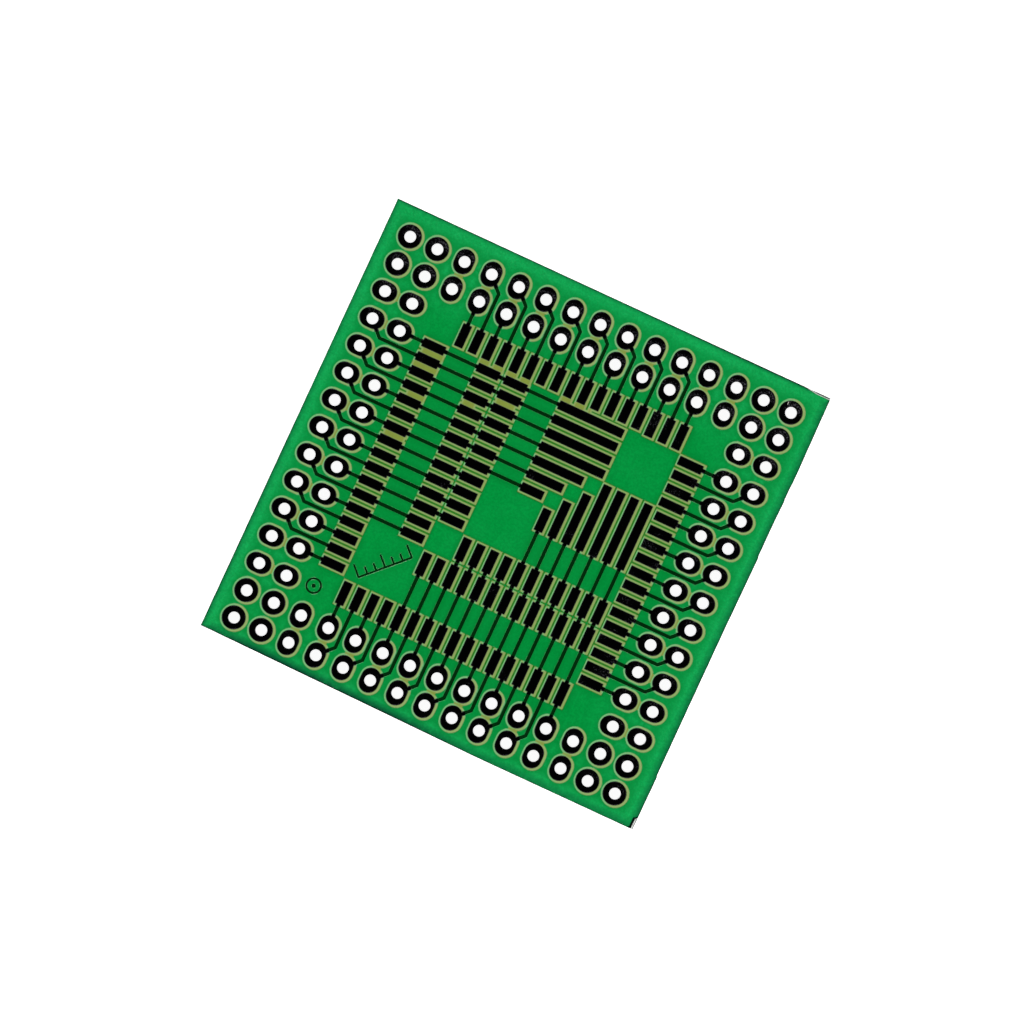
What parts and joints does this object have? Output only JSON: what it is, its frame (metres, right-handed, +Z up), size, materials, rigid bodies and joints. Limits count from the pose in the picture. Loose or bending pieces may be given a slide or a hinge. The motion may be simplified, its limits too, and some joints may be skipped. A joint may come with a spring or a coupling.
{
  "type": "bare circuit board",
  "caption": "Square green adapter board with a double ring of plated pin holes and nested land patterns for leaded chip carriers.",
  "frame": {"origin": "centre of the pin-hole grid, on the underside", "axes": "+Z up to the side with the surface pads, +X and +Y along the hole rows; the end of the long pads with the open square is towards +X and +Y"},
  "size_m": [0.0405, 0.0402, 0.0016],
  "materials": {
    "laminate": "bare glass-epoxy, olive, matt",
    "solder_mask": "green solder mask, satin to glossy",
    "plated_copper": "plated copper that mirrors black from above, with faint grey speckle"
  },
  "bodies": {
    "root": {"laminate": "laminate", "solder_mask_top": "solder_mask", "solder_mask_bottom": "solder_mask", "left_circuit_01": "plated_copper", "left_circuit_02": "plated_copper", "left_circuit_03": "plated_copper", "left_circuit_04": "plated_copper", "left_circuit_05": "plated_copper", "left_circuit_06": "plated_copper", "left_circuit_07": "plated_copper", "left_circuit_08": "plated_copper", "left_circuit_09": "plated_copper", "left_circuit_10": "plated_copper", "left_circuit_11": "plated_copper", "left_circuit_12": "plated_copper", "left_circuit_13": "plated_copper", "left_circuit_14": "plated_copper", "left_circuit_15": "plated_copper", "left_circuit_16": "plated_copper", "left_circuit_17": "plated_copper", "bottom_circuit_01": "plated_copper", "bottom_circuit_02": "plated_copper", "bottom_circuit_03": "plated_copper", "bottom_circuit_04": "plated_copper", "bottom_circuit_05": "plated_copper", "bottom_circuit_06": "plated_copper", "bottom_circuit_07": "plated_copper", "bottom_circuit_08": "plated_copper", "bottom_circuit_09": "plated_copper", "bottom_circuit_10": "plated_copper", "bottom_circuit_11": "plated_copper", "bottom_circuit_12": "plated_copper", "bottom_circuit_13": "plated_copper", "bottom_circuit_14": "plated_copper", "bottom_circuit_15": "plated_copper", "bottom_circuit_16": "plated_copper", "bottom_circuit_17": "plated_copper", "right_inner_circuits": "plated_copper", "right_outer_circuits": "plated_copper", "top_inner_circuits": "plated_copper", "top_outer_circuits": "plated_copper", "corner_spare_holes": "plated_copper", "left_spare_holes": "plated_copper", "right_spare_holes": "plated_copper", "top_spare_holes": "plated_copper", "bottom_spare_holes": "plated_copper", "copper_marks": "plated_copper"}
  },
  "joints": []
}
